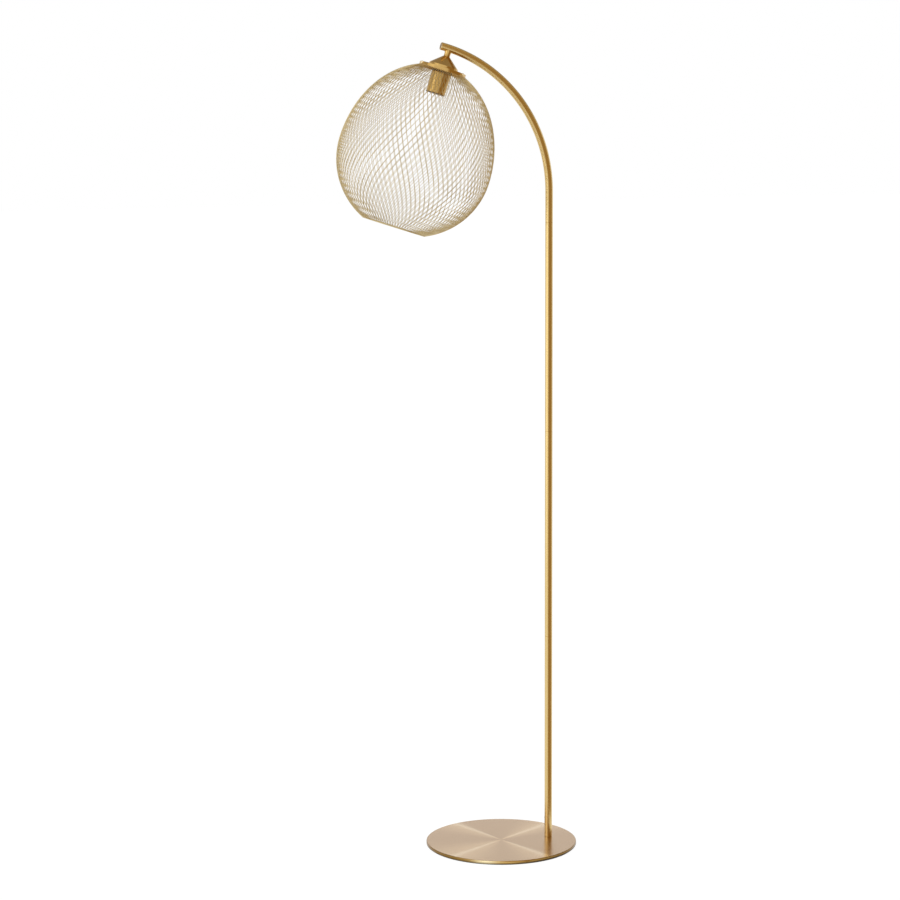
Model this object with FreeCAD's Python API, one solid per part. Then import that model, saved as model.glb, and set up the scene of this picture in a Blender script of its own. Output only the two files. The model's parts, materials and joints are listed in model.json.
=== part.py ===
import FreeCAD
import Part

import math
import os

# Floor lamp: a round base, a knock-down pole with an arched arm, and a wire cage shade round a lampholder.
# Millimetres. Z is up. The origin is the centre of the base on the floor. The pole stands at +X and the
# arm arches over towards -X, in the XZ plane. The head hangs square to the arm, so its axis is tilted.

# ---- base ----
base_radius = 150.0
base_plate_thickness = 6.0
base_top_edge_radius = 1.2
base_lower_edge_radius = 0.5
pad_radius = 147.0
pad_thickness = 2.0
pad_screw_gap = 2.0

# ---- pole ----
pole_offset = 98.0
tube_diameter = 15.0
tube_wall = 1.2
tube_end_chamfer = 0.3
section_length = 412.0
arm_straight = 61.5
arm_arc_radius = 290.0
arm_tip_angle = 75.2
end_plug_depth = 5.0
end_plug_recess = 0.3

# ---- fits shared by the pole and the head ----
running_gap = 0.05
face_gap = 0.1

# ---- screw that holds the pole to the base ----
foot_screw_diameter = 8.0
foot_screw_head_diameter = 15.6
foot_screw_length = 24.0
foot_screw_key = 5.0
foot_screw_key_depth = 3.0
foot_screw_sink = 0.1
foot_screw_hole_gap = 0.3
foot_plug_length = 20.0

# ---- screwed joints of the pole ----
bush_length = 16.0
stud_diameter = 10.0
stud_bore = 8.0
stud_reach = 14.0

# ---- cable way ----
flex_diameter = 5.6
flex_gap = 0.1
cable_exit_height = 45.0
grommet_neck_radius = 4.1
grommet_flange_radius = 5.6
grommet_stand_off = 1.7
grommet_inner_reach = 0.7
flex_head_bend = 7.0

# ---- neck under the arm ----
neck_angle = 71.8
neck_diameter = 12.0
neck_length = 14.6
neck_collar_radius = 7.0
neck_collar_depth = 1.0
neck_fillet_top = 7.5
neck_fillet_bottom = 11.0
nipple_diameter = 10.0
nipple_bore = 7.2
nipple_top = 9.0
nipple_tail = 1.5

# ---- bell canopy ----
canopy_wall = 1.0
canopy_radius = 28.8
canopy_throat_height = 1.0
canopy_lip_height = 4.4
canopy_waist_depth = 24.5
canopy_waist_radius = 16.5

# ---- gallery plate and the top band of the cage ----
plate_depth = 39.2
plate_thickness = 4.0
band_radius = 46.4
band_wall = 1.3
band_height = 7.2

# ---- edge screws ----
edge_screw_diameter = 3.0
edge_screw_reach = 7.0
edge_screw_head_radius = 2.7
edge_screw_head_height = 2.6
edge_screw_head_rim = 1.0
edge_screw_slot_width = 0.8
edge_screw_slot_depth = 1.0
edge_screw_count = 3
edge_screw_first_angle = 46.0
band_hole_gap = 0.2

# ---- lampholder ----
insulating_ring_radius = 20.0
insulating_ring_height = 4.4
holder_top_radius = 19.1
holder_mouth_radius = 18.6
holder_length = 42.4
holder_wall = 0.8
holder_bead_radius = 0.6
holder_corner_radius = 1.5
washer_radius = 8.5
washer_thickness = 0.8
nut_across_flats = 14.0
nut_thickness = 3.0
insert_gap = 0.2
insert_deck_depth = 14.4
insert_deck_thickness = 3.0
insert_recess = 1.0
socket_bore_radius = 13.5
socket_lip_length = 5.0
shell_seat_radius = 14.0
thread_depth = 1.1
thread_turns = 5
shell_wall = 0.4
contact_radius = 4.0
contact_thickness = 0.5
contact_rise = 2.5
terminal_count = 3
terminal_circle_radius = 12.0
terminal_head_radius = 2.6
terminal_head_height = 2.2
terminal_shank_radius = 1.5
core_radius = 0.6
core_spread = 0.9
core_bend = 3.0

# ---- cage ----
cage_radius = 149.4
cage_rim_radius = 62.0
cage_equator_height = 133.3
cage_dome_height = 186.6
rim_distance = 356.6
rim_wire_radius = 1.5
wire_radius = 0.45
layer_gap = 0.3
wire_count = 87
wire_turn = 60.35
wire_turn_height = 311.0
wire_bends = 16
wire_end_gap = 0.27
inner_phase = 0.667
outer_phase = 0.167

# ---- worked out ----
tube_radius = tube_diameter / 2
tube_bore_radius = tube_radius - tube_wall
plug_radius = tube_bore_radius - running_gap
base_top = pad_thickness + base_plate_thickness
seam_heights = [base_top + section_length * n for n in (1, 2, 3)]
arc_base_height = seam_heights[-1] + arm_straight
arc_centre_x = pole_offset - arm_arc_radius
head_tilt = 90.0 - neck_angle
plate_bottom = plate_depth + plate_thickness
ring_top = plate_bottom + face_gap
ring_bottom = ring_top + insulating_ring_height
holder_top = ring_bottom + face_gap
holder_mouth = holder_top + holder_length
holder_inside = holder_top + holder_wall
washer_top = holder_inside + face_gap
nut_top = washer_top + washer_thickness
nipple_end = nut_top + nut_thickness + nipple_tail
flex_end = nipple_end + face_gap
deck_top = holder_top + insert_deck_depth
deck_bottom = deck_top + insert_deck_thickness
insert_mouth = holder_mouth - insert_recess
screw_depth = plate_depth + plate_thickness / 2
layer_offset = wire_radius + layer_gap / 2
cage_lower_height = cage_equator_height / math.sqrt(1 - (cage_rim_radius / cage_radius) ** 2)

# PAST is how far a cut runs past a face. QUARTER is how far the middle of a quarter arc lies in from its
# corner, as a share of the radius.
PARTS = "parts"
MITRED = 1
PAST = 1.0
QUARTER = 1 - math.sqrt(0.5)
CENTRE = FreeCAD.Vector(0, 0, 0)
AXIS_Z = FreeCAD.Vector(0, 0, 1)
AXIS_Y = FreeCAD.Vector(0, 1, 0)


def save(name, solids):
    """Writes one sub-part, and prints what it is made of."""
    solids = solids if isinstance(solids, list) else [solids]
    shape = solids[0] if len(solids) == 1 else Part.makeCompound(solids)
    bad = [n for n, solid in enumerate(solids) if not solid.isValid()]
    volume = sum(solid.Volume for solid in solids)
    print(f"{name}: {len(shape.Solids)} solids, {volume:.1f} mm3, not valid: {bad}")
    shape.exportStep(os.path.join(PARTS, name + ".step"))


def outline(start, *steps):
    """A closed outline in the XZ plane. A step is a corner, or a pair: a point on an arc and its end."""
    edges = []
    here = FreeCAD.Vector(start[0], 0, start[1])
    first = here
    for step in steps:
        if isinstance(step[0], tuple):
            middle = FreeCAD.Vector(step[0][0], 0, step[0][1])
            end = FreeCAD.Vector(step[1][0], 0, step[1][1])
            edges.append(Part.Arc(here, middle, end).toShape())
        else:
            end = FreeCAD.Vector(step[0], 0, step[1])
            edges.append(Part.LineSegment(here, end).toShape())
        here = end
    if here.distanceToPoint(first) > 1e-6:
        edges.append(Part.LineSegment(here, first).toShape())
    return Part.Face(Part.Wire(edges))


def turned(start, *steps):
    """A solid turned about Z from an outline."""
    return outline(start, *steps).revolve(CENTRE, AXIS_Z, 360)


def rod(radius, low, high, at=(0.0, 0.0)):
    """An upright cylinder."""
    return Part.makeCylinder(radius, high - low, FreeCAD.Vector(at[0], at[1], low), AXIS_Z)


def sleeve(outer, inner, low, high):
    """An upright ring with a through bore."""
    return turned((inner, low), (outer, low), (outer, high), (inner, high))


def hex_prism(across_flats, low, high):
    """An upright hexagonal bar."""
    corner_radius = across_flats / math.sqrt(3)
    corners = []
    for n in range(7):
        angle = math.radians(60 * n)
        x = corner_radius * math.cos(angle)
        corners.append(FreeCAD.Vector(x, corner_radius * math.sin(angle), low))
    return Part.Face(Part.makePolygon(corners)).extrude(FreeCAD.Vector(0, 0, high - low))


def on_pole(shape):
    """A piece that is modelled round Z, set on the pole's own axis."""
    copy = shape.copy()
    copy.translate(FreeCAD.Vector(pole_offset, 0, 0))
    return copy


# ---- the arm's arc and the head's own frame ----


def arc_outward(angle):
    """The direction from the arc's centre to its centreline, by how far the arm has turned."""
    turn = math.radians(angle)
    return FreeCAD.Vector(math.cos(turn), 0, math.sin(turn))


def arc_point(angle):
    """A point of the arm's centreline."""
    return FreeCAD.Vector(arc_centre_x, 0, arc_base_height) + arc_outward(angle) * arm_arc_radius


def arc_rod(radius, start_angle, end_angle):
    """A round bar bent along the arm's arc."""
    start = FreeCAD.Vector(pole_offset, 0, arc_base_height)
    face = Part.Face(Part.Wire(Part.makeCircle(radius, start, AXIS_Z)))
    hinge = FreeCAD.Vector(arc_centre_x, 0, arc_base_height)
    bent = face.revolve(hinge, -AXIS_Y, end_angle - start_angle)
    bent.rotate(hinge, -AXIS_Y, start_angle)
    return bent


HEAD = FreeCAD.Placement(arc_point(neck_angle), FreeCAD.Rotation(AXIS_Y, head_tilt))


def in_head(shape):
    """A piece that is modelled round Z with Z = 0 at the arm's centreline, set in the tilted head."""
    copy = shape.copy()
    copy.Placement = HEAD.multiply(copy.Placement)
    return copy


def head_turned(start, *steps):
    """A turned solid of the head. Its outline is (radius, depth below the arm's centreline)."""
    flipped = []
    for step in (start,) + steps:
        if isinstance(step[0], tuple):
            flipped.append(tuple((radius, -depth) for radius, depth in step))
        else:
            flipped.append((step[0], -step[1]))
    return turned(*flipped)


def head_sleeve(outer, inner, top, bottom):
    """A ring of the head, between two depths."""
    return sleeve(outer, inner, -bottom, -top)


# ---- base ----


def base_plate():
    edge = base_top_edge_radius
    low_edge = base_lower_edge_radius
    plate = turned(
        (0, pad_thickness),
        (base_radius - low_edge, pad_thickness),
        (
            (base_radius - low_edge * QUARTER, pad_thickness + low_edge * QUARTER),
            (base_radius, pad_thickness + low_edge),
        ),
        (base_radius, base_top - edge),
        ((base_radius - edge * QUARTER, base_top - edge * QUARTER), (base_radius - edge, base_top)),
        (0, base_top),
    )
    shank = foot_screw_diameter / 2 + foot_screw_hole_gap
    mouth = foot_screw_head_diameter / 2 + foot_screw_hole_gap
    sink = mouth - shank
    hole = turned(
        (0, pad_thickness - PAST),
        (mouth, pad_thickness - PAST),
        (mouth, pad_thickness + foot_screw_sink),
        (shank, pad_thickness + foot_screw_sink + sink),
        (shank, base_top + PAST),
        (0, base_top + PAST),
    )
    return plate.cut(on_pole(hole))


def base_pad():
    """The pad under the base, with a hole through which the screw is reached."""
    reach = foot_screw_head_diameter / 2 + pad_screw_gap
    return rod(pad_radius, 0, pad_thickness).cut(on_pole(rod(reach, -PAST, pad_thickness + PAST)))


def base_screw():
    low = pad_thickness + foot_screw_sink
    shank = foot_screw_diameter / 2
    head = foot_screw_head_diameter / 2
    high = low + foot_screw_length
    body = turned((0, low), (head, low), (shank, low + head - shank), (shank, high), (0, high))
    return on_pole(body.cut(hex_prism(foot_screw_key, low - PAST, low + foot_screw_key_depth)))


def foot_plug():
    return on_pole(
        sleeve(plug_radius, foot_screw_diameter / 2 + running_gap, base_top, base_top + foot_plug_length)
    )


# ---- pole ----


def straight_tube(low, high):
    """One pole section with a small chamfer at each end, which shows as a fine groove at a joint."""
    c = tube_end_chamfer
    return on_pole(
        turned(
            (tube_bore_radius, low),
            (tube_radius - c, low),
            (tube_radius, low + c),
            (tube_radius, high - c),
            (tube_radius - c, high),
            (tube_bore_radius, high),
        )
    )


def grommet_axis_rod(radius, near, far):
    """A bar along the cable's way out, from the pole's axis towards the back."""
    start = FreeCAD.Vector(pole_offset, near, cable_exit_height)
    return Part.makeCylinder(radius, far - near, start, AXIS_Y)


def lower_tube():
    hole = grommet_axis_rod(grommet_neck_radius + running_gap, 0, 2 * tube_radius)
    return straight_tube(base_top, seam_heights[0]).cut(hole)


def cable_grommet():
    outside = tube_radius + grommet_stand_off
    flange = grommet_axis_rod(grommet_flange_radius, 0, outside)
    flange = flange.cut(on_pole(rod(tube_radius + running_gap, 0, 2 * cable_exit_height)))
    neck = grommet_axis_rod(grommet_neck_radius, tube_bore_radius - grommet_inner_reach, outside)
    body = flange.fuse(neck).removeSplitter()
    return body.cut(grommet_axis_rod(flex_diameter / 2 + flex_gap, 0, 2 * outside))


def joint_bushes(seam):
    """The two threaded bushes that are pressed into the tube ends at one joint."""
    bore = stud_diameter / 2 + running_gap
    below = sleeve(plug_radius, bore, seam - bush_length, seam - face_gap / 2)
    above = sleeve(plug_radius, bore, seam + face_gap / 2, seam + bush_length)
    return [on_pole(below), on_pole(above)]


def joint_stud(seam):
    return on_pole(sleeve(stud_diameter / 2, stud_bore / 2, seam - stud_reach, seam + stud_reach))


def arm_tube():
    c = tube_end_chamfer
    low = seam_heights[-1]
    straight = turned(
        (0, low),
        (tube_radius - c, low),
        (tube_radius, low + c),
        (tube_radius, arc_base_height),
        (0, arc_base_height),
    )
    outer = on_pole(straight).fuse(arc_rod(tube_radius, 0, arm_tip_angle))
    bore = on_pole(rod(tube_bore_radius, low - PAST, arc_base_height)).fuse(
        arc_rod(tube_bore_radius, 0, arm_tip_angle + PAST)
    )
    wire_way = in_head(rod(nipple_bore / 2, -2 * tube_radius, 0))
    return outer.cut(bore).cut(wire_way).removeSplitter()


def arm_end_plug():
    step = math.degrees(1 / arm_arc_radius)
    face_angle = arm_tip_angle - end_plug_recess * step
    return arc_rod(plug_radius, face_angle - end_plug_depth * step, face_angle)


def internal_flex():
    """The flex from the grommet at the pole's foot to the lampholder: straight runs and tangent arcs."""
    foot_bend = tube_bore_radius - grommet_inner_reach
    bow = foot_bend * QUARTER
    start = FreeCAD.Vector(pole_offset, tube_radius + grommet_stand_off, cable_exit_height)
    foot_in = FreeCAD.Vector(pole_offset, foot_bend, cable_exit_height)
    foot_middle = FreeCAD.Vector(pole_offset, bow, cable_exit_height + bow)
    foot_out = FreeCAD.Vector(pole_offset, 0, cable_exit_height + foot_bend)
    # The last bend touches the arm's centreline and the head's axis, which both belong to the same arc.
    bend_centre_radius = arm_arc_radius - flex_head_bend
    last_angle = neck_angle - math.degrees(math.asin(flex_head_bend / bend_centre_radius))
    bend_centre = arc_point(last_angle) - arc_outward(last_angle) * flex_head_bend
    along = arc_outward(neck_angle + 90)
    bend_middle = bend_centre + (arc_outward(last_angle) + along).normalize() * flex_head_bend
    bend_out = bend_centre + along * flex_head_bend
    end = arc_point(neck_angle) - arc_outward(neck_angle) * flex_end
    path = Part.Wire(
        [
            Part.LineSegment(start, foot_in).toShape(),
            Part.Arc(foot_in, foot_middle, foot_out).toShape(),
            Part.LineSegment(foot_out, arc_point(0)).toShape(),
            Part.Arc(arc_point(0), arc_point(last_angle / 2), arc_point(last_angle)).toShape(),
            Part.Arc(arc_point(last_angle), bend_middle, bend_out).toShape(),
            Part.LineSegment(bend_out, end).toShape(),
        ]
    )
    section = Part.Wire(Part.makeCircle(flex_diameter / 2, start, -AXIS_Y))
    flex = path.makePipeShell([section], True, True)
    section_area = math.pi * flex_diameter**2 / 4
    print(f"internal flex: bends {foot_bend:.1f} and {flex_head_bend:.1f} mm, {path.Length:.0f} mm long")
    print(f"internal flex: {flex.Volume:.0f} mm3 against {path.Length * section_area:.0f} mm3")
    return flex


# ---- neck and nipple, which stay with the arm ----


def neck_socket():
    """The threaded neck, with a collar that is fitted to the underside of the arm."""
    outer = neck_diameter / 2
    bore = nipple_diameter / 2 + running_gap
    fillet_middle = (
        outer + (neck_collar_radius - outer) * QUARTER,
        neck_fillet_top + (neck_fillet_bottom - neck_fillet_top) * QUARTER,
    )
    body = head_turned(
        (bore, neck_length),
        (outer, neck_length),
        (outer, neck_fillet_bottom),
        (fillet_middle, (neck_collar_radius, neck_fillet_top)),
        (neck_collar_radius, neck_collar_depth),
        (bore, neck_collar_depth),
    )
    return in_head(body).cut(arc_rod(tube_radius, 0, arm_tip_angle))


def hollow_nipple():
    return in_head(head_sleeve(nipple_diameter / 2, nipple_bore / 2, nipple_top, nipple_end))


def friction_washer():
    return in_head(head_sleeve(washer_radius, nipple_diameter / 2 + face_gap, washer_top, nut_top))


def lock_nut():
    bottom = nut_top + nut_thickness
    nut = hex_prism(nut_across_flats, -bottom, -nut_top)
    return in_head(nut.cut(rod(nipple_diameter / 2 + running_gap, -bottom - PAST, PAST - nut_top)))


# ---- head ----

swivel_bore = nipple_diameter / 2 + running_gap


def canopy():
    """A thin bell, open below. Its flank is an arc that flares outwards to the lip."""
    top = neck_length + face_gap
    throat = neck_diameter / 2
    wall = canopy_wall
    lip_top = plate_depth - canopy_lip_height
    return in_head(
        head_turned(
            (swivel_bore, top),
            (throat, top),
            (throat, top + canopy_throat_height),
            ((canopy_waist_radius, canopy_waist_depth), (canopy_radius, lip_top)),
            (canopy_radius, plate_depth),
            (canopy_radius - wall, plate_depth),
            (canopy_radius - wall, lip_top + wall),
            (
                (canopy_waist_radius - wall, canopy_waist_depth + wall),
                (throat, top + canopy_throat_height + 2 * wall),
            ),
            (swivel_bore, top + canopy_throat_height + 2 * wall),
        )
    )


def screw_angles():
    return [edge_screw_first_angle + n * 360.0 / edge_screw_count for n in range(edge_screw_count)]


def edge_bar(radius, near, far, angle):
    """A bar that points out from the head's axis, at the depth of the edge screws."""
    turn = math.radians(-angle)
    direction = FreeCAD.Vector(math.cos(turn), math.sin(turn), 0)
    start = direction * near + FreeCAD.Vector(0, 0, -screw_depth)
    return Part.makeCylinder(radius, far - near, start, direction)


def gallery_plate():
    edge = band_radius - band_wall - running_gap
    plate = head_sleeve(edge, swivel_bore, plate_depth, plate_bottom)
    for angle in screw_angles():
        bottom = edge - edge_screw_reach - PAST
        plate = plate.cut(edge_bar(edge_screw_diameter / 2 + running_gap, bottom, band_radius, angle))
    return in_head(plate)


def cage_top_band():
    band = head_sleeve(band_radius, band_radius - band_wall, plate_depth, plate_depth + band_height)
    for angle in screw_angles():
        hole = edge_bar(edge_screw_diameter / 2 + band_hole_gap, band_radius / 2, 2 * band_radius, angle)
        band = band.cut(hole)
    return in_head(band)


def edge_screw(angle):
    """A slotted dome-head screw through the band into the edge of the plate."""
    seat = band_radius + face_gap
    tip = band_radius - band_wall - edge_screw_reach
    shank = edge_screw_diameter / 2
    head = edge_screw_head_radius
    rise = edge_screw_head_height
    rim = edge_screw_head_rim
    dome_radius = (head**2 + (rise - rim) ** 2) / (2 * (rise - rim))
    shoulder = head / 2
    shoulder_height = seat + rise - dome_radius + math.sqrt(dome_radius**2 - shoulder**2)
    body = turned(
        (0, tip),
        (shank, tip),
        (shank, seat),
        (head, seat),
        (head, seat + rim),
        ((shoulder, shoulder_height), (0, seat + rise)),
    )
    slot = Part.makeBox(
        edge_screw_slot_width,
        3 * head,
        2 * edge_screw_slot_depth,
        FreeCAD.Vector(-edge_screw_slot_width / 2, -1.5 * head, seat + rise - edge_screw_slot_depth),
    )
    screw = body.cut(slot)
    screw.rotate(CENTRE, AXIS_Y, 90)
    screw.rotate(CENTRE, AXIS_Z, -angle)
    screw.translate(FreeCAD.Vector(0, 0, -screw_depth))
    return in_head(screw)


def insulating_ring():
    return in_head(head_sleeve(insulating_ring_radius, swivel_bore, ring_top, ring_bottom))


# ---- lampholder ----


def holder_radius_at(depth):
    """Outside radius of the lampholder's tapered shell."""
    share = (depth - holder_top) / holder_length
    return holder_top_radius + (holder_mouth_radius - holder_top_radius) * share


def lampholder_shell():
    """The spun cup with a rolled bead round its mouth."""
    wall = holder_wall
    bead = holder_bead_radius
    corner = holder_corner_radius
    top_radius = holder_radius_at(holder_top + corner)
    bead_top = holder_mouth - 2 * bead
    low_radius = holder_radius_at(bead_top)
    return in_head(
        head_turned(
            (swivel_bore, holder_top),
            (top_radius - corner, holder_top),
            (
                (top_radius - corner * QUARTER, holder_top + corner * QUARTER),
                (top_radius, holder_top + corner),
            ),
            (low_radius, bead_top),
            ((low_radius + bead, bead_top + bead), (low_radius, holder_mouth)),
            (low_radius - wall, holder_mouth),
            (holder_radius_at(holder_inside + corner) - wall, holder_inside + corner),
            (top_radius - wall - corner / 2, holder_inside),
            (swivel_bore, holder_inside),
        )
    )


def terminal_angles():
    return [90.0 + n * 360.0 / terminal_count for n in range(terminal_count)]


def polar(radius, angle):
    """X and Y of a point in the head."""
    turn = math.radians(-angle)
    return (radius * math.cos(turn), radius * math.sin(turn))


def socket_insert():
    """The moulded body inside the shell: a deck for the terminals, and a skirt round the lamp's cap."""
    outside = holder_radius_at(holder_mouth) - holder_wall - insert_gap
    lip_top = insert_mouth - socket_lip_length
    body = head_turned(
        (0, deck_top),
        (outside, deck_top),
        (outside, insert_mouth),
        (socket_bore_radius, insert_mouth),
        (socket_bore_radius, lip_top),
        (shell_seat_radius, lip_top),
        (shell_seat_radius, deck_bottom),
        (0, deck_bottom),
    )
    for angle in terminal_angles():
        at = polar(terminal_circle_radius, angle)
        body = body.cut(rod(terminal_shank_radius + running_gap, -deck_bottom - PAST, PAST - deck_top, at))
    return in_head(body)


def screw_shell():
    """The sheet sleeve that takes the lamp's screw cap: one round wave for each turn of the thread."""
    top = deck_bottom + face_gap
    bottom = insert_mouth - socket_lip_length - face_gap
    crest = shell_seat_radius - face_gap
    root = crest - thread_depth
    wave = (bottom - top) / (2 * thread_turns)
    inside = []
    outside = []
    for n in range(2 * thread_turns):
        radius_mid = crest if n % 2 else root
        middle = top + (n + 0.5) * wave
        end = top + (n + 1) * wave
        mean = (crest + root) / 2
        outside.append(((radius_mid, middle), (mean, end)))
        inside.append(((radius_mid - shell_wall, middle), (mean - shell_wall, top + n * wave)))
    mean = (crest + root) / 2
    return in_head(head_turned((mean, top), *outside, (mean - shell_wall, bottom), *reversed(inside)))


def centre_contact():
    """The sprung tongue on the axis: a thin shallow cup with a flat top, which faces the lamp's cap."""
    top = deck_bottom
    rise = contact_rise
    wall = contact_thickness
    flat = contact_radius / 3
    shoulder = contact_radius - (contact_radius - flat) * QUARTER
    drop = 1 - QUARTER
    return in_head(
        head_turned(
            (0, top + rise - wall),
            (flat, top + rise - wall),
            ((shoulder, top + (rise - wall) * drop), (contact_radius, top)),
            (contact_radius + wall, top),
            ((shoulder + wall, top + rise * drop), (flat, top + rise)),
            (0, top + rise),
        )
    )


def terminal_screws():
    """The terminals stand on the deck, each with its shank in the deck."""
    screws = []
    for angle in terminal_angles():
        at = polar(terminal_circle_radius, angle)
        head = rod(terminal_head_radius, -deck_top, -deck_top + terminal_head_height, at)
        shank = rod(terminal_shank_radius, -deck_bottom, -deck_top, at)
        screws.append(in_head(head.fuse(shank).removeSplitter()))
    return screws


def lead_cores():
    """The bared cores of the flex, each run out and down onto its terminal."""
    cores = []
    run = flex_end + face_gap + core_radius
    land = deck_top - terminal_head_height - running_gap
    bend = core_bend
    bow = bend * QUARTER
    for angle in terminal_angles():
        turn = math.radians(-angle)
        out = FreeCAD.Vector(math.cos(turn), math.sin(turn), 0)
        start = out * core_spread - AXIS_Z * run
        bend_in = out * (terminal_circle_radius - bend) - AXIS_Z * run
        bend_mid = out * (terminal_circle_radius - bow) - AXIS_Z * (run + bow)
        bend_out = out * terminal_circle_radius - AXIS_Z * (run + bend)
        path = [Part.LineSegment(start, bend_in).toShape()]
        path.append(Part.Arc(bend_in, bend_mid, bend_out).toShape())
        end = out * terminal_circle_radius - AXIS_Z * land
        if land > run + bend:
            path.append(Part.LineSegment(bend_out, end).toShape())
        section = Part.Wire(Part.makeCircle(core_radius, start, out))
        cores.append(in_head(Part.Wire(path).makePipeShell([section], True, True)))
    return cores


# ---- cage ----
# The cage is a surface of revolution: two half ellipses that meet at the equator. A height is counted
# up the head's axis from the rim. A wire turns about the axis in step with its height.


def cage_height_unit(turn):
    return cage_dome_height if turn > 0 else cage_lower_height


def cage_place(turn, offset):
    """Radius and height of a profile point, moved out along the profile's normal by offset."""
    unit = cage_height_unit(turn)
    normal_radius = unit * math.cos(turn)
    normal_height = cage_radius * math.sin(turn)
    size = math.hypot(normal_radius, normal_height)
    radius = cage_radius * math.cos(turn) + offset * normal_radius / size
    height = cage_equator_height + unit * math.sin(turn) + offset * normal_height / size
    return radius, height


def turn_at_radius(radius, offset, above):
    """The profile angle where the offset profile has this radius, found by halving."""
    low, high = 0.0, math.pi / 2
    for _ in range(50):
        middle = (low + high) / 2
        if cage_place(middle if above else -middle, offset)[0] > radius:
            low = middle
        else:
            high = middle
    return low if above else -low


def cage_wire(offset, hand):
    """One wire, from the rim ring to the top band: short straight runs, mitred where they meet."""
    first = turn_at_radius(cage_rim_radius + rim_wire_radius + wire_end_gap, offset, above=False)
    last = turn_at_radius(band_radius + wire_end_gap, offset, above=True)
    step = (last - first) / wire_bends
    lift = cage_radius * (1 / math.cos(step / 2) - 1) / 2
    corners = []
    for n in range(wire_bends + 1):
        radius, height = cage_place(first + n * step, offset + (lift if 0 < n < wire_bends else 0.0))
        angle = hand * math.radians(wire_turn) * height / wire_turn_height
        corners.append(
            FreeCAD.Vector(radius * math.cos(angle), radius * math.sin(angle), height - rim_distance)
        )
    section = Part.Wire(Part.makeCircle(wire_radius, corners[0], corners[1] - corners[0]))
    return Part.makePolygon(corners).makePipeShell([section], True, False, MITRED)


def wire_layer(offset, hand, phase):
    """All wires of one layer: the same wire, turned about the axis by even steps."""
    first = cage_wire(offset, hand)
    wires = []
    for n in range(wire_count):
        wire = first.copy()
        wire.rotate(CENTRE, AXIS_Z, -(n + phase) * 360.0 / wire_count)
        wires.append(in_head(wire))
    return wires


def cage_rim_ring():
    centre = FreeCAD.Vector(0, 0, -rim_distance)
    return in_head(Part.makeTorus(cage_rim_radius, rim_wire_radius, centre, AXIS_Z))


os.makedirs(PARTS, exist_ok=True)

save("base_plate", base_plate())
save("base_pad", base_pad())
save("base_screw", base_screw())
save("foot_plug", foot_plug())
save("lower_tube", lower_tube())
save("middle_tube", straight_tube(seam_heights[0], seam_heights[1]))
save("upper_tube", straight_tube(seam_heights[1], seam_heights[2]))
save("cable_grommet", cable_grommet())
for place, seam in zip(("lower", "middle", "upper"), seam_heights):
    save(place + "_joint_bushes", joint_bushes(seam))
    save(place + "_joint_stud", joint_stud(seam))
save("arm_tube", arm_tube())
save("arm_end_plug", arm_end_plug())
save("internal_flex", internal_flex())
save("neck_socket", neck_socket())
save("hollow_nipple", hollow_nipple())
save("friction_washer", friction_washer())
save("lock_nut", lock_nut())

save("canopy", canopy())
save("gallery_plate", gallery_plate())
save("cage_top_band", cage_top_band())
save("insulating_ring", insulating_ring())
save("lampholder_shell", lampholder_shell())
save("socket_insert", socket_insert())
save("screw_shell", screw_shell())
save("centre_contact", centre_contact())
save("terminal_screws", terminal_screws())
save("lead_cores", lead_cores())
save("cage_wires_inner", wire_layer(-layer_offset, -1, inner_phase))
save("cage_wires_outer", wire_layer(layer_offset, 1, outer_phase))
save("cage_rim_ring", cage_rim_ring())
for number, angle in enumerate(screw_angles(), start=1):
    save(f"edge_screw_{number}", edge_screw(angle))
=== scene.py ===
# %% [markdown]
# # A floor lamp with a wire cage shade
#
# The lamp has three main forms: a thin brushed disc on the floor, a slim tube that rises from it
# and bends over in one arc, and a rounded shade of fine crossed wires that hangs from the end of
# that arc. The solid model gives every piece its place and size, so this lesson only has to make
# the pieces finer and give them their finishes. Lengths in the cells are in millimetres, as a
# workshop drawing has them, and become metres when a mesh is placed.

import json
import math

import bmesh
import bpy
from mathutils import Matrix, Vector

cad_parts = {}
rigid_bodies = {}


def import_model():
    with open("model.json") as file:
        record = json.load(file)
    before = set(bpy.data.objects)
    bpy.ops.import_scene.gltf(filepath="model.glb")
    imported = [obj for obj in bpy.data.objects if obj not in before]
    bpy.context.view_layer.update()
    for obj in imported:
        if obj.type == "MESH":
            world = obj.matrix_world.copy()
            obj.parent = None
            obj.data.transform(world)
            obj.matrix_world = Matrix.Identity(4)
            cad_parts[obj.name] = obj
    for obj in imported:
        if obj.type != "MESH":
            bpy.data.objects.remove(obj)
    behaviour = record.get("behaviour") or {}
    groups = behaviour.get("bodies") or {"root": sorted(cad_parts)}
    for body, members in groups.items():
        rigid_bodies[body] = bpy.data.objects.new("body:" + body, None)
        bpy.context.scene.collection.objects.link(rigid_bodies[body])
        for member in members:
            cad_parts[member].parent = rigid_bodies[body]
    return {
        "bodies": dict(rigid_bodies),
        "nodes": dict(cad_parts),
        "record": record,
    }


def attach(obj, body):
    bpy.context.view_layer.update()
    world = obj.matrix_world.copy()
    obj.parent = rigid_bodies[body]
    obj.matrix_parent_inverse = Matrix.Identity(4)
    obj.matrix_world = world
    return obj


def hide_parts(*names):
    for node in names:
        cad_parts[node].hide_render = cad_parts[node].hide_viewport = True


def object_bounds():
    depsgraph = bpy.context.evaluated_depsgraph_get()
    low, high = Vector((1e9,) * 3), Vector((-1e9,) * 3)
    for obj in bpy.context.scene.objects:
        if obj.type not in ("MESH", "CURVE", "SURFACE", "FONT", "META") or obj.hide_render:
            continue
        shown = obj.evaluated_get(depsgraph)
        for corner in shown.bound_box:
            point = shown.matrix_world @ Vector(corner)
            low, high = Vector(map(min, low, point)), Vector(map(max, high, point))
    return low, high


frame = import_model()
solid_box = [list(map(float, corner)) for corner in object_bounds()]
MM = 0.001
WHITE = (1, 1, 1, 1)


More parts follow.
